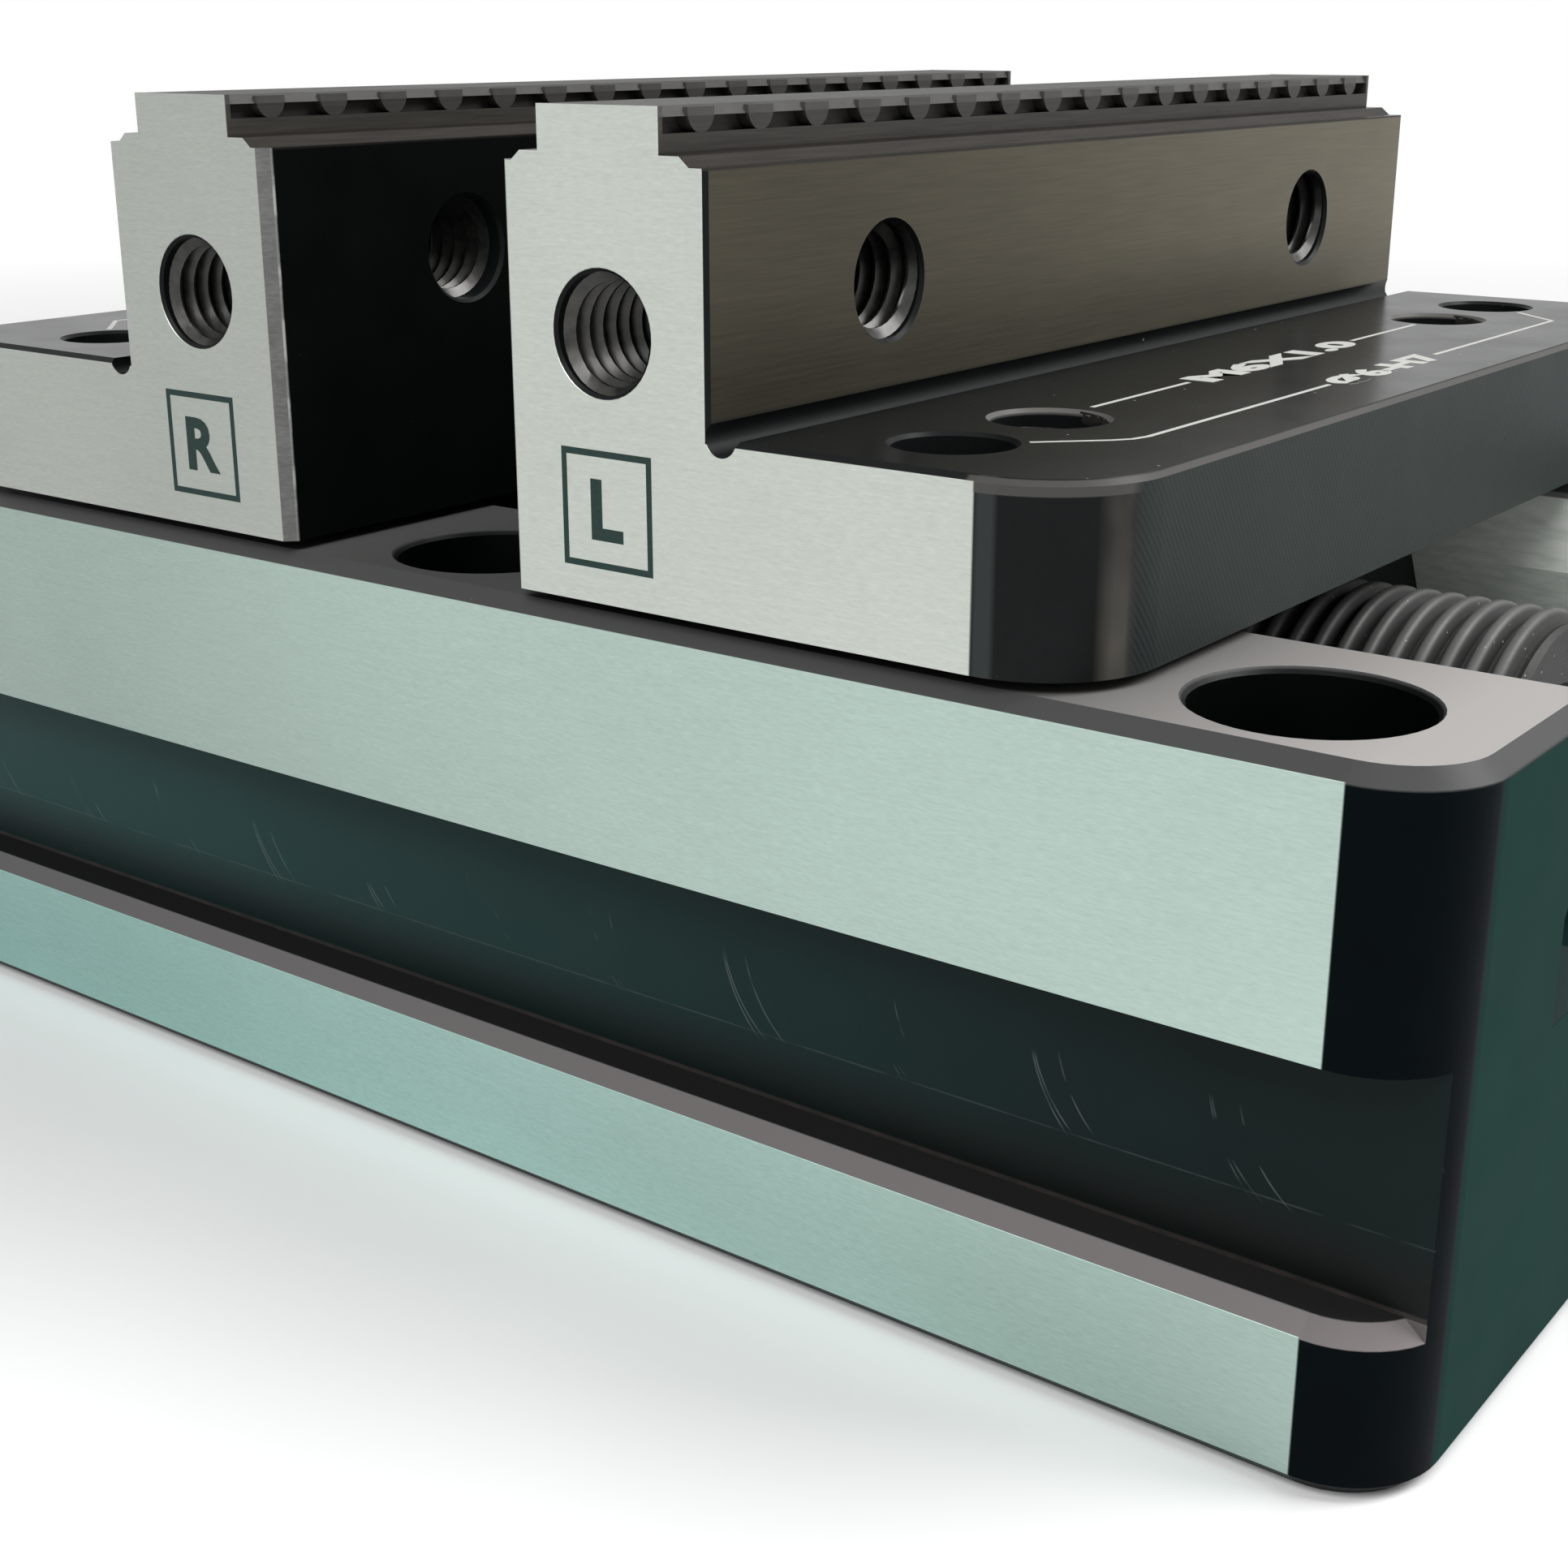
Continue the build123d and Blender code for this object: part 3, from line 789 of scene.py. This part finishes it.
class VISE_OT_base_finish(bpy.types.Operator):
    """Blackens the base and grinds the bands along its long sides bright"""

    bl_idname = "vise.base_finish"
    bl_label = "Base finish"

    groove_wall = 37.0
    ledge_height = 8.8

    def execute(self, context):
        length, width, height = (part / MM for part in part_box("base_body")[1])
        corner_radius = 5.0
        lip_foot = 7.85
        top_chamfer = 0.85
        paint = Paint("base_steel")
        across = abs(paint.x)
        outward = abs(paint.y)
        side = outward.above(width - 0.03, 0.02)
        ground = side * across.below(length - corner_radius, 0.12)
        lip = outward.above(self.groove_wall, 0.1) * paint.z.between(lip_foot, self.ledge_height - 0.02, 0.05)
        lip = lip * (1 - ground)
        top = paint.z.above(height - top_chamfer, 0.1)
        corner = across.above(length - corner_radius, 0.1) * outward.above(width - corner_radius, 0.1)
        flat_x = across.above(length - 0.04, 0.03)
        flat_z = paint.faces("Z")
        along = paint.x.above(0, 2 * length)
        lower = paint.z.below(15, 5)
        # Painted shading: the ground bands a shade darker towards the left end, and darker low down at the
        # right end.
        painted_shading = 0.80 + paint.x.above(-12, 34) * 0.20 - paint.x.above(48, 30) * lower * 0.22
        steels = (colours().ground, colours().oxide)
        colour, roughness, relief = steel_pair(paint, ground, *steels, 0.36, painted_shading)
        # Painted reflection: the lower ground band tinted greener towards the left end.
        greener = (0.97, 1.24, 1.27)
        green_reflection_steel = paint.node("ShaderNodeVectorMath", {"operation": "MULTIPLY"}, {0: colour, 1: greener})
        colour = paint.mix(ground * lower * paint.x.below(10, 110), colour, green_reflection_steel)
        end_oxide = paint.shade((0.001, 0.0225, 0.0175), 0.8 + paint.noise(0.1, detail=4.0) * 0.4)
        colour = paint.mix(flat_x, colour, end_oxide)
        # Painted shade: the flat ledge in each groove nearly black, and given less sheen further down.
        shaded_ledge = paint.z.between(self.ledge_height - 0.3, self.ledge_height + 0.4, 0.05)
        shaded_ledge = shaded_ledge * flat_z * outward.above(self.groove_wall - 0.1, 0.1)
        colour = paint.mix(shaded_ledge * 0.9, colour, (0.0012, 0.0007, 0.0008))
        groove = self.on_groove_wall(paint) * paint.faces("Y")
        # Painted shading: the oxide on the groove walls lighter at the left end and darker at the right.
        painted_groove_shading = 2.3 - paint.x.above(10, 80) * 2.0 + paint.noise(0.15, detail=4.0) * 0.3
        colour = paint.mix(groove, colour, paint.shade(colours().oxide[:], painted_groove_shading))
        corner = corner * (1 - groove) * (1 - top) * (1 - flat_x)
        # Painted shade: the base's rounded vertical corners darker than the oxide, and given less sheen
        # further down.
        painted_corner_shade = paint.shade((0.001, 0.0026, 0.0036), 0.6 + paint.noise(0.4, detail=3.0) * 0.8)
        colour = paint.mix(corner, colour, painted_corner_shade)
        # Painted shadow: the lower part of the groove walls, just above the ledge, darkened.
        colour = paint.mix(groove * paint.z.below(11.6, 2.4) * 0.65, colour, (0.006, 0.0055, 0.005))
        dust = groove * paint.z.between(self.ledge_height - 0.1, self.ledge_height + 0.25, 0.1)
        dust = dust * (0.2 + paint.noise(0.9, shift=(4, 4, 1)) * 0.7)
        colour = paint.mix(dust, colour, (0.060, 0.052, 0.048))
        ways = self.slideways(paint)
        rubbing = 1.3 + paint.noise(0.5, (1, 1, 4), shift=(7, 3, 3)) * 0.9
        colour = paint.mix(ways, colour, paint.shade(colours().carriage_ground[:], rubbing))
        colour = paint.mix(lip * (0.4 + along * 0.4), colour, (0.225, 0.203, 0.205))
        # Painted sheen: the base's flat top light grey towards both ends and dark in the middle.
        top_painted_sheen = paint.mix(across.above(46, 20), (0.095, 0.095, 0.092), (0.40, 0.375, 0.36))
        top_steel = paint.mix(flat_z, (0.066, 0.064, 0.065), top_painted_sheen)
        colour = paint.mix(top * (1 - ground) * 0.85, colour, top_steel)
        # Painted shade: the inside of the rails, where the mounting holes are, nearly black.
        colour = paint.mix(self.counterbores(paint), colour, (0.0005, 0.001, 0.001))
        colour = paint.mix(self.cutter_arcs(paint) * 0.3, colour, (0.20, 0.23, 0.23))
        roughness = roughness + flat_x * 0.42
        metallic = ground * 0.9 + ways * 0.25
        sheen = 0.1 - (corner + shaded_ledge) * 0.075
        dress("base_body", paint.finish(colour, roughness, metallic, relief, 0.25, Specular_IOR_Level=sheen))
        return {"FINISHED"}

    def on_groove_wall(self, paint):
        return abs(paint.y).between(self.groove_wall - 0.1, self.groove_wall + 0.1, 0.05)

    def slideways(self, paint):
        """The upright and slanting sides of the channel that the carriages slide on."""
        lips = 15.6
        deepest = 26.0
        foot = 18.9
        head = 34.1
        ends = 59.1
        sides = abs(paint.y).above(lips, 0.1) * abs(paint.y).below(deepest, 0.2)
        sides = sides * paint.z.above(foot, 0.1) * paint.z.below(head, 0.06)
        return sides * (1 - paint.faces("Z")) * (1 - paint.faces("X")) * abs(paint.x).below(ends, 0.05)

    def counterbores(self, paint):
        """The inside of the rails where the mounting holes are, short of the tops and the ends, which is
        painted nearly black as shade.
        """
        inner_side = 26.5
        outer_side = 38.4
        foot = 21.1
        head = 34.5
        last = 57.6
        rails = abs(paint.y).between(inner_side, outer_side, 0.2) * paint.z.between(foot, head, 0.1)
        return rails * abs(paint.x).below(last, 0.1)

    def cutter_arcs(self, paint):
        """Broken arcs and a line that a cutter has left on the grooves' walls."""
        feed = 9.5
        cutter_height = 18.1
        arc_foot = 12.5
        arc_head = 16.3
        along = paint.x.maths("FLOORED_MODULO", paint.x, feed)
        up = paint.z - cutter_height
        arcs = 0.0
        for middle, radius in ((8.5, 7.5), (9.8, 7.4), (9.2, 8.3)):
            across = along - middle
            swing = (across * across + up * up).root()
            arcs = arcs + swing.between(radius - 0.035, radius + 0.035, 0.05) * across.below(-3.0, 0.5)
        broken = paint.noise(0.16, (1, 1, 2), shift=(3, 8, 5)).above(0.53, 0.10)
        wear_and_painted_shade = paint.noise(0.3, shift=(1, 4, 2)).above(0.42, 0.2) * 0.4
        line = paint.z.between(arc_foot - 0.08, arc_foot, 0.05) * wear_and_painted_shade
        return (arcs * broken * paint.z.between(arc_foot, arc_head, 0.9) + line) * self.on_groove_wall(paint)


def steel_pair(paint, ground, steel, oxide, oxide_roughness, painted_shading):
    """Colour, roughness and relief of ground steel where the mask is 1 and of black oxide elsewhere. The
    ground steel is scaled by a painted shading.
    """
    grain = paint.noise(1.0, (1.6, 5.0, 8.0), detail=3.0)
    cloud = paint.noise(0.06, detail=3.0)
    streaks = paint.noise(1.0, (0.3, 2.0, 3.5), detail=2.0, shift=(4, 2, 9))
    bright = paint.mix(cloud, steel[:], toned(steel, 0.88))
    bright = paint.shade(bright, painted_shading * (0.78 + grain * 0.30 + streaks * 0.14))
    blotch = paint.noise(0.22, detail=5.0, shift=(5, 5, 5))
    grit = paint.noise(3.2, detail=3.0)
    scratch = paint.cells(0.22, (1.0, 1.0, 3.5)).below(0.018, 0.01)
    scratch = scratch * paint.noise(0.4, shift=(8, 1, 2)).above(0.5, 0.1)
    specks = paint.cells(0.55, shift=(1, 7, 3)).below(0.045, 0.02)
    specks = specks * paint.noise(0.15, shift=(2, 9, 4)).above(0.52, 0.05)
    dark = paint.shade(paint.mix(blotch, toned(oxide, 0.65), toned(oxide, 1.5)), 0.8 + grit * 0.4)
    dark = paint.mix(scratch * 0.35, dark, (0.10, 0.12, 0.12))
    dark = paint.mix(specks * 0.6, dark, (0.35, 0.36, 0.35))
    colour = paint.mix(ground, dark, bright)
    dark_rough = oxide_roughness + blotch * 0.12
    bright_rough = 0.34 + grain * 0.12
    roughness = dark_rough + ground * (bright_rough - dark_rough)
    relief = ground * (grain * 0.5 + streaks * 0.5) + (1 - ground) * grit * 0.35
    return colour, roughness, relief


class VISE_OT_carriage_finish(bpy.types.Operator):
    """Blackens the carriages, brushes their uprights and grinds their ends bright"""

    bl_idname = "vise.carriage_finish"
    bl_label = "Carriage finish"

    def execute(self, context):
        low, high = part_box("carriage_l")
        inner_face = low.x / MM
        wing_face = high.x / MM
        half_width = high.y / MM
        corner_radius = 6.0
        upright_foot = 45.0
        upright_face = 20.0
        shoulder_foot = 56.6
        lip_foot = 58.9
        paint = Paint("carriage_steel")
        across = abs(paint.x)
        outward = abs(paint.y)
        flat_z = paint.faces("Z")
        ground = outward.above(half_width - 0.03, 0.02) * across.above(inner_face + 0.6, 0.06)
        ground = ground * across.below(wing_face - corner_radius - 0.1, 0.12)
        sides = paint.faces("X")
        upright = sides * paint.z.above(upright_foot, 0.3) * paint.z.below(shoulder_foot, 0.1)
        upright = upright * across.above(upright_face, 1.0)
        wing_end = sides * across.above(wing_face - 0.3, 0.2)
        # Painted shading: the right carriage, on the -x side, a shade darker than the left one.
        painted_shading = 0.82 + paint.x.above(0, 4) * 0.27
        steels = (colours().carriage_ground, colours().carriage_oxide)
        colour, roughness, relief = steel_pair(paint, ground, *steels, 0.34, painted_shading)
        brush = paint.noise(1.0, (3.0, 0.22, 7.0), detail=3.0)
        stain = paint.noise(0.07, (1, 0.6, 1.6), detail=5.0, shift=(2, 6, 4))
        # Painted shading: the brushed uprights darker towards the front and towards the bottom.
        wear_and_painted_shade = (0.5 + paint.y.above(0, 90) * 0.85) * (0.7 + paint.z.above(48.5, 4) * 0.3)
        brown = paint.mix(brush, toned(colours().brown_oxide, 0.72), colours().brown_oxide[:])
        brown = paint.shade(brown, wear_and_painted_shade * (0.65 + stain * 0.45 + brush * 0.25))
        colour = paint.mix(upright, colour, brown)
        neck = paint.z.above(shoulder_foot, 0.05) * (1 - ground) * (1 - flat_z)
        neck_steel = paint.shade((0.062, 0.057, 0.050), 0.35 + brush * 0.9)
        colour = paint.mix(neck * 0.75, colour, neck_steel)
        slant = (paint.y * 0.82 + paint.z * 0.57) * 21.0
        mill = slant.sine() * paint.noise(0.3, shift=(6, 6, 1))
        milled = paint.mix(mill * 0.5 + 0.5, (0.012, 0.0175, 0.0168), (0.026, 0.033, 0.0315))
        colour = paint.mix(wing_end, colour, milled)
        rounding = (across - (wing_face - corner_radius)) * (1 / corner_radius)
        turned = outward.above(half_width - corner_radius, 0.1) * (1 - wing_end) * (1 - flat_z)
        # Painted reflections on the wings' rounded corners: a grey-green band where the rounding starts, and
        # a light brownish streak near its end.
        first = rounding.between(0.0, 0.16, 0.05) * 0.6
        painted_corner_streak = paint.noise(0.3, (1, 1, 0.6), shift=(9, 2, 2)) * 1.6 - 0.3
        painted_corner_streak = painted_corner_streak * rounding.between(0.84, 0.97, 0.08)
        colour = paint.mix(turned * first, colour, (0.040, 0.048, 0.047))
        colour = paint.mix(turned * painted_corner_streak, colour, (0.085, 0.080, 0.070))
        # Painted highlight: a light line along the top edge of the wings' rounded corners.
        rim = paint.z.between(43.55, 44.25, 0.05) * (1 - ground) * (1 - flat_z) * (1 - wing_end)
        rim = rim * across.above(wing_face - corner_radius - 0.5, 0.2)
        colour = paint.mix(rim * 0.85, colour, (0.070, 0.068, 0.064))
        colour = paint.mix(self.thread_mouths(paint) * (1 - flat_z) * 0.9, colour, (0.12, 0.117, 0.11))
        # Painted light: a patchy pale band along the jaws' top edges above the teeth.
        lip = paint.z.above(lip_foot, 0.04) * (1 - ground) * (1 - flat_z)
        rub_and_glint = paint.noise(0.8, shift=(1, 1, 8))
        colour = paint.mix(lip * (0.35 + rub_and_glint * 0.5), colour, (0.085, 0.084, 0.08))
        recess = paint.z.above(58.15, 0.03) * paint.z.below(lip_foot, 0.03)
        colour = paint.mix(recess * (1 - ground) * 0.2, colour, (0.06, 0.058, 0.054))
        crown = paint.z.above(59.3, 0.05) * flat_z
        colour = paint.mix(crown * (0.4 + rub_and_glint * 0.4), colour, (0.15, 0.15, 0.145))
        shoulder = paint.z.between(shoulder_foot + 0.02, shoulder_foot + 0.7, 0.05) * (1 - ground)
        colour = paint.mix(shoulder * 0.75, colour, paint.shade((0.026, 0.023, 0.020), 0.5 + brush))
        # Painted shade: the carriages' inner faces, which face each other, nearly black and given less sheen
        # further down.
        inner = sides * across.below(inner_face + 0.3, 0.1)
        colour = paint.mix(inner * 0.6, colour, (0.0006, 0.0009, 0.0008))
        # Painted highlight: a pale band on the chamfered edge between each inner face and the long sides.
        edge = across.below(inner_face + 0.62, 0.04) * outward.above(half_width - 0.65, 0.05)
        edge_highlight = paint.shade((0.17, 0.17, 0.165), 0.3 + brush * 0.7 + rub_and_glint * 0.5)
        colour = paint.mix(edge * 0.85, colour, edge_highlight)
        # Painted glint: a thin bright line along that edge, broken into patches.
        arris = across.below(inner_face + 0.05, 0.04) * outward.above(half_width - 0.7, 0.05)
        glint_breaks = paint.noise(0.5, shift=(5, 2, 6), detail=4.0).above(0.54, 0.10)
        colour = paint.mix(arris * (0.15 + glint_breaks * 0.4), colour, (0.5, 0.5, 0.48))
        relief = relief + upright * brush * 0.8 + wing_end * mill * 0.9
        roughness = roughness + wing_end * 0.10 + upright * (brush * 0.15 - 0.05)
        roughness = roughness - flat_z * 0.14 + crown * 0.5
        metallic = ground * 0.9 + upright * 0.35
        sheen = 0.1 - inner * 0.07 - shoulder * 0.06
        carriage = paint.finish(colour, roughness, metallic, relief, 0.25, Specular_IOR_Level=sheen)
        for node in ("carriage_l", "carriage_r"):
            dress(node, carriage)
        return {"FINISHED"}

    def thread_mouths(self, paint):
        """The cones at the mouths of the two threads in each wing."""
        thread_x = 31.7
        thread_y = 25.0
        wing_top = 44.3
        off_x = abs(paint.x) - thread_x
        off_y = abs(paint.y) - thread_y
        ring = (off_x * off_x + off_y * off_y).root().between(2.9, 3.24, 0.05)
        return ring * paint.z.above(wing_top - 0.3, 0.1)


class VISE_OT_bearing_finish(bpy.types.Operator):
    """Finishes the centre bearing: blackened block, bronze shells, screws and pins"""

    bl_idname = "vise.bearing_finish"
    bl_label = "Bearing finish"

    def execute(self, context):
        block = Paint("bearing_block_steel")
        cutter = (block.y * 14.0 + block.noise(0.5) * 3.0).sine()
        grit = block.noise(3.0, detail=3.0)
        colour = block.mix(grit, (0.022, 0.026, 0.026), (0.05, 0.055, 0.055))
        colour = block.shade(colour, 0.9 + cutter * 0.12)
        relief = cutter * 0.3 + grit * 0.3
        block_steel = block.finish(colour, 0.36 + grit * 0.15, 0.2, relief, bump=0.2, distance=0.02)
        turned = Paint("bearing_bronze")
        rings = (turned.x * 18.0).sine()
        stain = turned.noise(0.5, detail=4.0)
        colour = turned.mix(stain, colours().bronze[:], toned(colours().bronze, 0.6))
        colour = turned.shade(colour, 0.95 + rings * 0.05)
        bronze = turned.finish(colour, 0.3 + stain * 0.2, 0.9, rings, bump=0.15, distance=0.02)
        screw = Paint("fastener_steel")
        heat = screw.noise(1.2, detail=3.0)
        colour = screw.mix(heat, (0.018, 0.018, 0.02), (0.045, 0.045, 0.048))
        black = screw.finish(colour, 0.34 + heat * 0.2, 0.3, heat, bump=0.15, distance=0.02)
        pin = Paint("pin_steel")
        ground = pin.noise(2.0, (1, 1, 6), detail=2.0)
        colour = pin.mix(ground, (0.42, 0.42, 0.42), (0.62, 0.62, 0.61))
        bright = pin.finish(colour, 0.22 + ground * 0.12, 0.9, ground, bump=0.1, distance=0.01)
        for node in ("centre_saddle", "centre_cap"):
            dress(node, block_steel)
        for node in ("bearing_shell_lower", "bearing_shell_upper"):
            dress(node, bronze)
        for side in ("front", "back"):
            dress(f"cap_screw_{side}", black)
            dress(f"saddle_screw_{side}", black)
            dress(f"saddle_dowel_{side}", bright)
        return {"FINISHED"}


class VISE_OT_studio(bpy.types.Operator):
    """Sets up the pale floor, the soft lamps and the camera of the photograph"""

    bl_idname = "vise.studio"
    bl_label = "Studio"

    def lamp(self, name, place, target, size, power):
        deselect()
        bpy.ops.object.light_add(type="AREA", location=place)
        lamp = bpy.context.object
        lamp.name = name
        lamp.data.shape = "RECTANGLE"
        lamp.data.size, lamp.data.size_y = size
        lamp.data.energy = power
        lamp.rotation_euler = (Vector(target) - Vector(place)).to_track_quat("-Z", "Y").to_euler()

    def floor(self):
        deselect()
        bpy.ops.mesh.primitive_plane_add(size=8, location=(0, 0, -0.05 * MM))
        floor = bpy.context.object
        floor.name = "studio_floor"
        settle(floor)
        paint = Paint("studio_floor")
        soft = paint.noise(0.01, detail=2.0)
        colour = paint.mix(soft, colours().floor[:], toned(colours().floor, 0.97))
        paint.finish(colour, 0.8, 0.0, Specular_IOR_Level=0.1)
        end = paint.tree.nodes["Material Output"].inputs["Surface"]
        matt = Wire(paint, end.links[0].from_socket)
        away = (paint.x * paint.x + paint.y * paint.y).root()
        far_off = paint.seen() * away.above(330.0, 420.0)
        white = paint.node("ShaderNodeEmission", {}, {"Color": (1, 1, 1, 1), "Strength": 1.0})
        mixed = paint.node("ShaderNodeMixShader", {}, {0: far_off, 1: matt, 2: white})
        paint.tree.links.new(mixed.socket, end)
        floor.data.materials.append(paint.material)

    def sky(self):
        world = bpy.data.worlds.new("studio_sky")
        world.use_nodes = True
        bpy.context.scene.world = world
        nodes = world.node_tree.nodes
        light = nodes["Background"]
        seen = nodes.new("ShaderNodeBackground")
        for backdrop, strength in ((light, 0.32), (seen, 1.0)):
            backdrop.inputs["Color"].default_value = (1, 1, 1, 1)
            backdrop.inputs["Strength"].default_value = strength
        path = nodes.new("ShaderNodeLightPath")
        mirrored = nodes.new("ShaderNodeMath")
        either = nodes.new("ShaderNodeMath")
        either.operation = "MAXIMUM"
        blend = nodes.new("ShaderNodeMixShader")
        link = world.node_tree.links.new
        link(path.outputs["Is Glossy Ray"], mirrored.inputs[0])
        link(path.outputs["Is Transmission Ray"], mirrored.inputs[1])
        link(path.outputs["Is Camera Ray"], either.inputs[0])
        link(mirrored.outputs[0], either.inputs[1])
        link(either.outputs[0], blend.inputs[0])
        link(light.outputs[0], blend.inputs[1])
        link(seen.outputs[0], blend.inputs[2])
        link(blend.outputs[0], nodes["World Output"].inputs["Surface"])

    def camera(self):
        """The photograph's camera: its place, its turn, and its focal length for a 36 mm sensor."""
        place = Vector((89.296, -122.56, 62.954)) * MM
        turn, down, roll = (math.radians(angle) for angle in (37.296, 18.642, -0.058))
        image_width = 1932
        focal_pixels = 2773.8
        deselect()
        bpy.ops.object.camera_add(location=place)
        camera = bpy.context.object
        camera.data.sensor_width = 36
        camera.data.lens = focal_pixels / image_width * 36
        camera.data.clip_start = 0.005
        camera.data.clip_end = 50
        ahead = Vector((-math.sin(turn) * math.cos(down), math.cos(turn) * math.cos(down), -math.sin(down)))
        across = Vector((math.cos(turn), math.sin(turn), 0))
        upward = across.cross(ahead)
        facing = Matrix((across, upward, -ahead)).transposed()
        camera.rotation_euler = (facing @ Matrix.Rotation(roll, 3, "Z")).to_euler()
        bpy.context.scene.camera = camera

    def execute(self, context):
        self.floor()
        self.sky()
        self.lamp("key_softbox", (0.45, 0.30, 0.55), (0.02, 0, 0.02), (0.40, 0.40), 5.5)
        self.lamp("front_softbox", (0.10, -0.38, 0.42), (0.03, -0.12, 0.0), (0.35, 0.25), 2.0)
        self.camera()
        context.scene.view_settings.view_transform = "Standard"
        return {"FINISHED"}


class VISE_PT_panel(bpy.types.Panel):
    """The vise's steps, its sizes and its colours"""

    bl_label = "Self centering vise"
    bl_space_type = "VIEW_3D"
    bl_region_type = "UI"
    bl_category = "Vise"

    def draw(self, context):
        for step in STEPS:
            self.layout.operator(step.bl_idname)
        for place in GROUPS:
            group = getattr(context.scene, place)
            for key in group.__annotations__:
                self.layout.prop(group, key)


GROUPS = {"vise_threads": ViseThreads, "vise_marks": ViseMarks, "vise_colours": ViseColours}
STEPS = (
    VISE_OT_base_finish,
    VISE_OT_carriage_finish,
    VISE_OT_bearing_finish,
    VISE_OT_lead_screw,
    VISE_OT_tapped_threads,
    VISE_OT_jaw_marks,
    VISE_OT_size_marks,
    VISE_OT_studio,
)


def register():
    for part in (*GROUPS.values(), *STEPS, VISE_PT_panel):
        bpy.utils.register_class(part)
    for place, group in GROUPS.items():
        setattr(bpy.types.Scene, place, bpy.props.PointerProperty(type=group))


def unregister():
    for place in GROUPS:
        delattr(bpy.types.Scene, place)
    for part in reversed((*GROUPS.values(), *STEPS, VISE_PT_panel)):
        bpy.utils.unregister_class(part)


def main():
    register()
    bpy.ops.vise.base_finish()
    bpy.ops.vise.carriage_finish()
    bpy.ops.vise.bearing_finish()
    bpy.ops.vise.lead_screw()
    bpy.ops.vise.tapped_threads()
    bpy.ops.vise.jaw_marks()
    bpy.ops.vise.size_marks()
    bpy.ops.vise.studio()
    bpy.context.view_layer.update()


if __name__ == "__main__":
    main()
